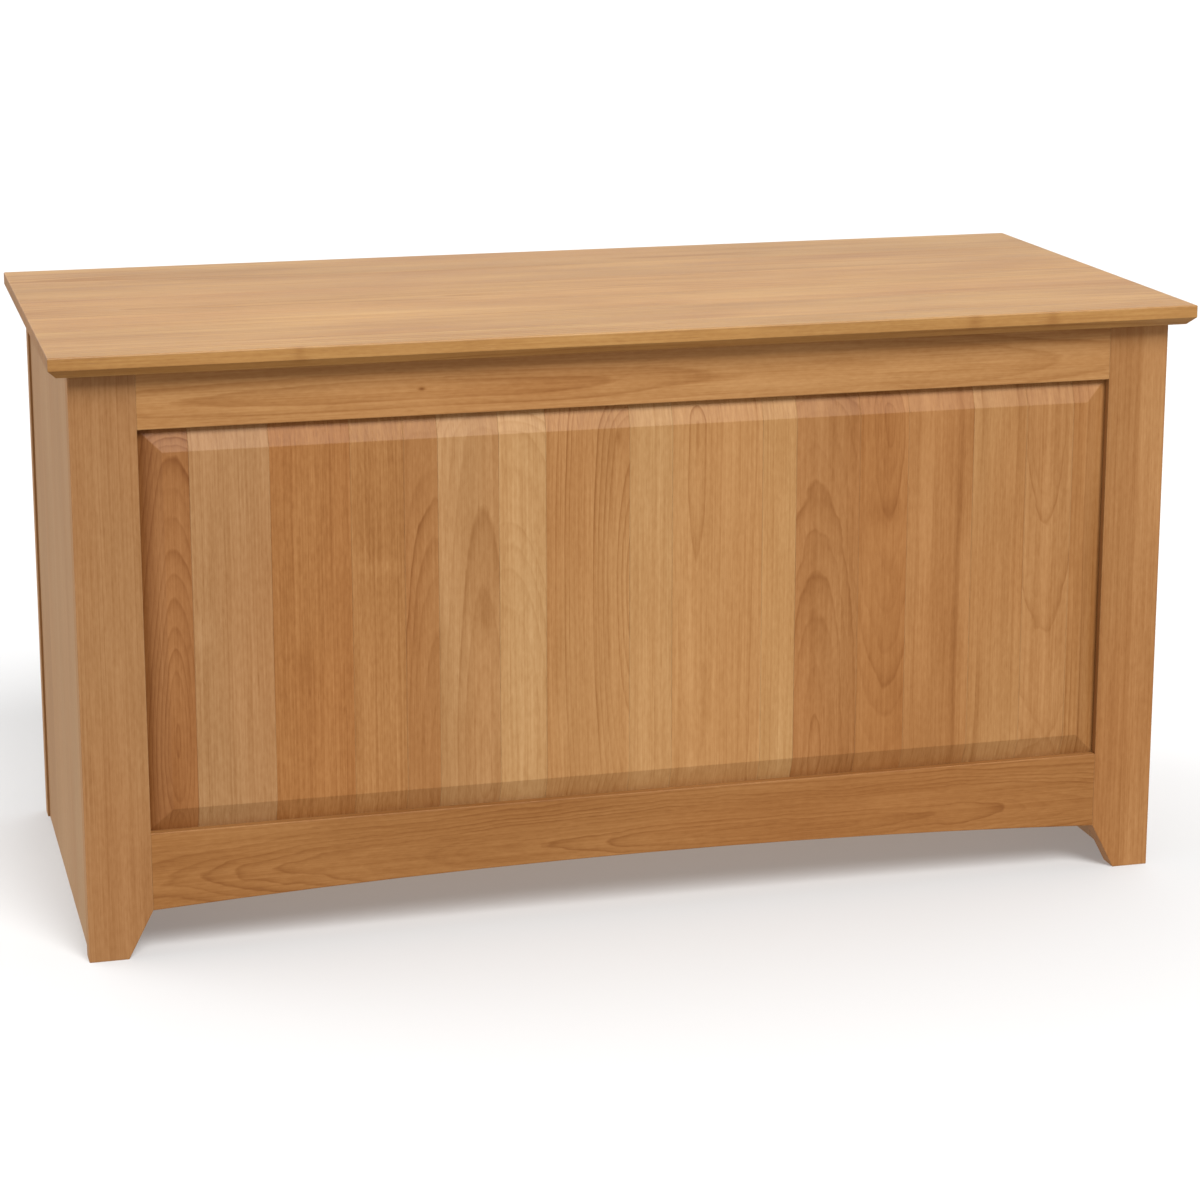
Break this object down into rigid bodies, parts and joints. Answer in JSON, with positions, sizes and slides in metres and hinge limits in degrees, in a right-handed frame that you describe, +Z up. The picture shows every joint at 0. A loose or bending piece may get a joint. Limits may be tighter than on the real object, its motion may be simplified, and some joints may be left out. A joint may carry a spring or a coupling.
{
  "type": "toy box",
  "caption": "Wooden toy box with a raised-panel front, tapered corner feet, an arched lower rail and a hinged overhanging lid held open by friction hinges.",
  "frame": {"origin": "on the floor, under the middle of the lid's outline", "axes": "+X along the width to the right as seen from the front, -Y out of the front panel, +Z up"},
  "size_m": [1.016, 0.463, 0.532],
  "materials": {
    "frame_wood": "satin clear lacquer, straight brown grain",
    "side_wood": "satin clear lacquer, plain vertical grain",
    "lid_wood": "satin clear lacquer, light straw with faint seams",
    "plain_wood": "planed, unfinished",
    "plywood": "veneer, clear sealed",
    "stave_red": "satin clear lacquer, red-brown heartwood",
    "stave_brown": "satin clear lacquer, dark brown heartwood",
    "stave_grey": "satin clear lacquer, grey-straw fine grain",
    "stave_tan": "satin clear lacquer, tan wood with brown lines",
    "stave_pale": "satin clear lacquer, pale sapwood",
    "hinge_steel": "satin nickel plate",
    "pin_steel": "ground steel",
    "clip_steel": "oiled spring steel",
    "screw_steel": "zinc plate",
    "bumper_rubber": "matt brown rubber"
  },
  "bodies": {
    "case": {"front_left_stile": "frame_wood", "front_right_stile": "frame_wood", "front_top_rail": "frame_wood", "front_bottom_rail": "frame_wood", "back_left_stile": "frame_wood", "back_right_stile": "frame_wood", "back_top_rail": "frame_wood", "back_bottom_rail": "frame_wood", "front_stave_01": "stave_red", "front_stave_02": "stave_grey", "front_stave_03": "stave_red", "front_stave_04": "stave_red", "front_stave_05": "stave_brown", "front_stave_06": "stave_grey", "front_stave_07": "stave_pale", "front_stave_08": "stave_tan", "front_stave_09": "stave_pale", "front_stave_10": "stave_pale", "front_stave_11": "stave_pale", "front_stave_12": "stave_brown", "front_stave_13": "stave_red", "front_stave_14": "stave_tan", "front_stave_15": "stave_tan", "front_stave_16": "stave_tan", "front_stave_17": "stave_brown", "left_side_panel": "side_wood", "right_side_panel": "side_wood", "back_panel": "plywood", "floor_panel": "plywood", "front_cleat": "plain_wood", "back_cleat": "plain_wood", "left_cleat": "plain_wood", "right_cleat": "plain_wood", "left_hinge_case_leaf": "hinge_steel", "left_hinge_clips": "clip_steel", "right_hinge_case_leaf": "hinge_steel", "right_hinge_clips": "clip_steel", "cleat_screws": "screw_steel", "floor_screws": "screw_steel", "hinge_case_screws": "screw_steel"},
    "lid": {"lid_board_1": "lid_wood", "lid_board_2": "lid_wood", "lid_board_3": "lid_wood", "lid_board_4": "lid_wood", "lid_board_5": "lid_wood", "lid_board_6": "lid_wood", "lid_left_batten": "plain_wood", "lid_right_batten": "plain_wood", "lid_bumpers": "bumper_rubber", "lid_batten_screws": "screw_steel", "hinge_lid_screws": "screw_steel", "left_hinge_lid_leaf": "hinge_steel", "left_hinge_pin": "pin_steel", "right_hinge_lid_leaf": "hinge_steel", "right_hinge_pin": "pin_steel"}
  },
  "joints": [
    {"name": "lid_hinge", "type": "hinge", "parent": "case", "child": "lid", "pos_m": [0, 0.2155, 0.508], "axis": [-1, 0, 0], "range_deg": [0, 95]}
  ]
}
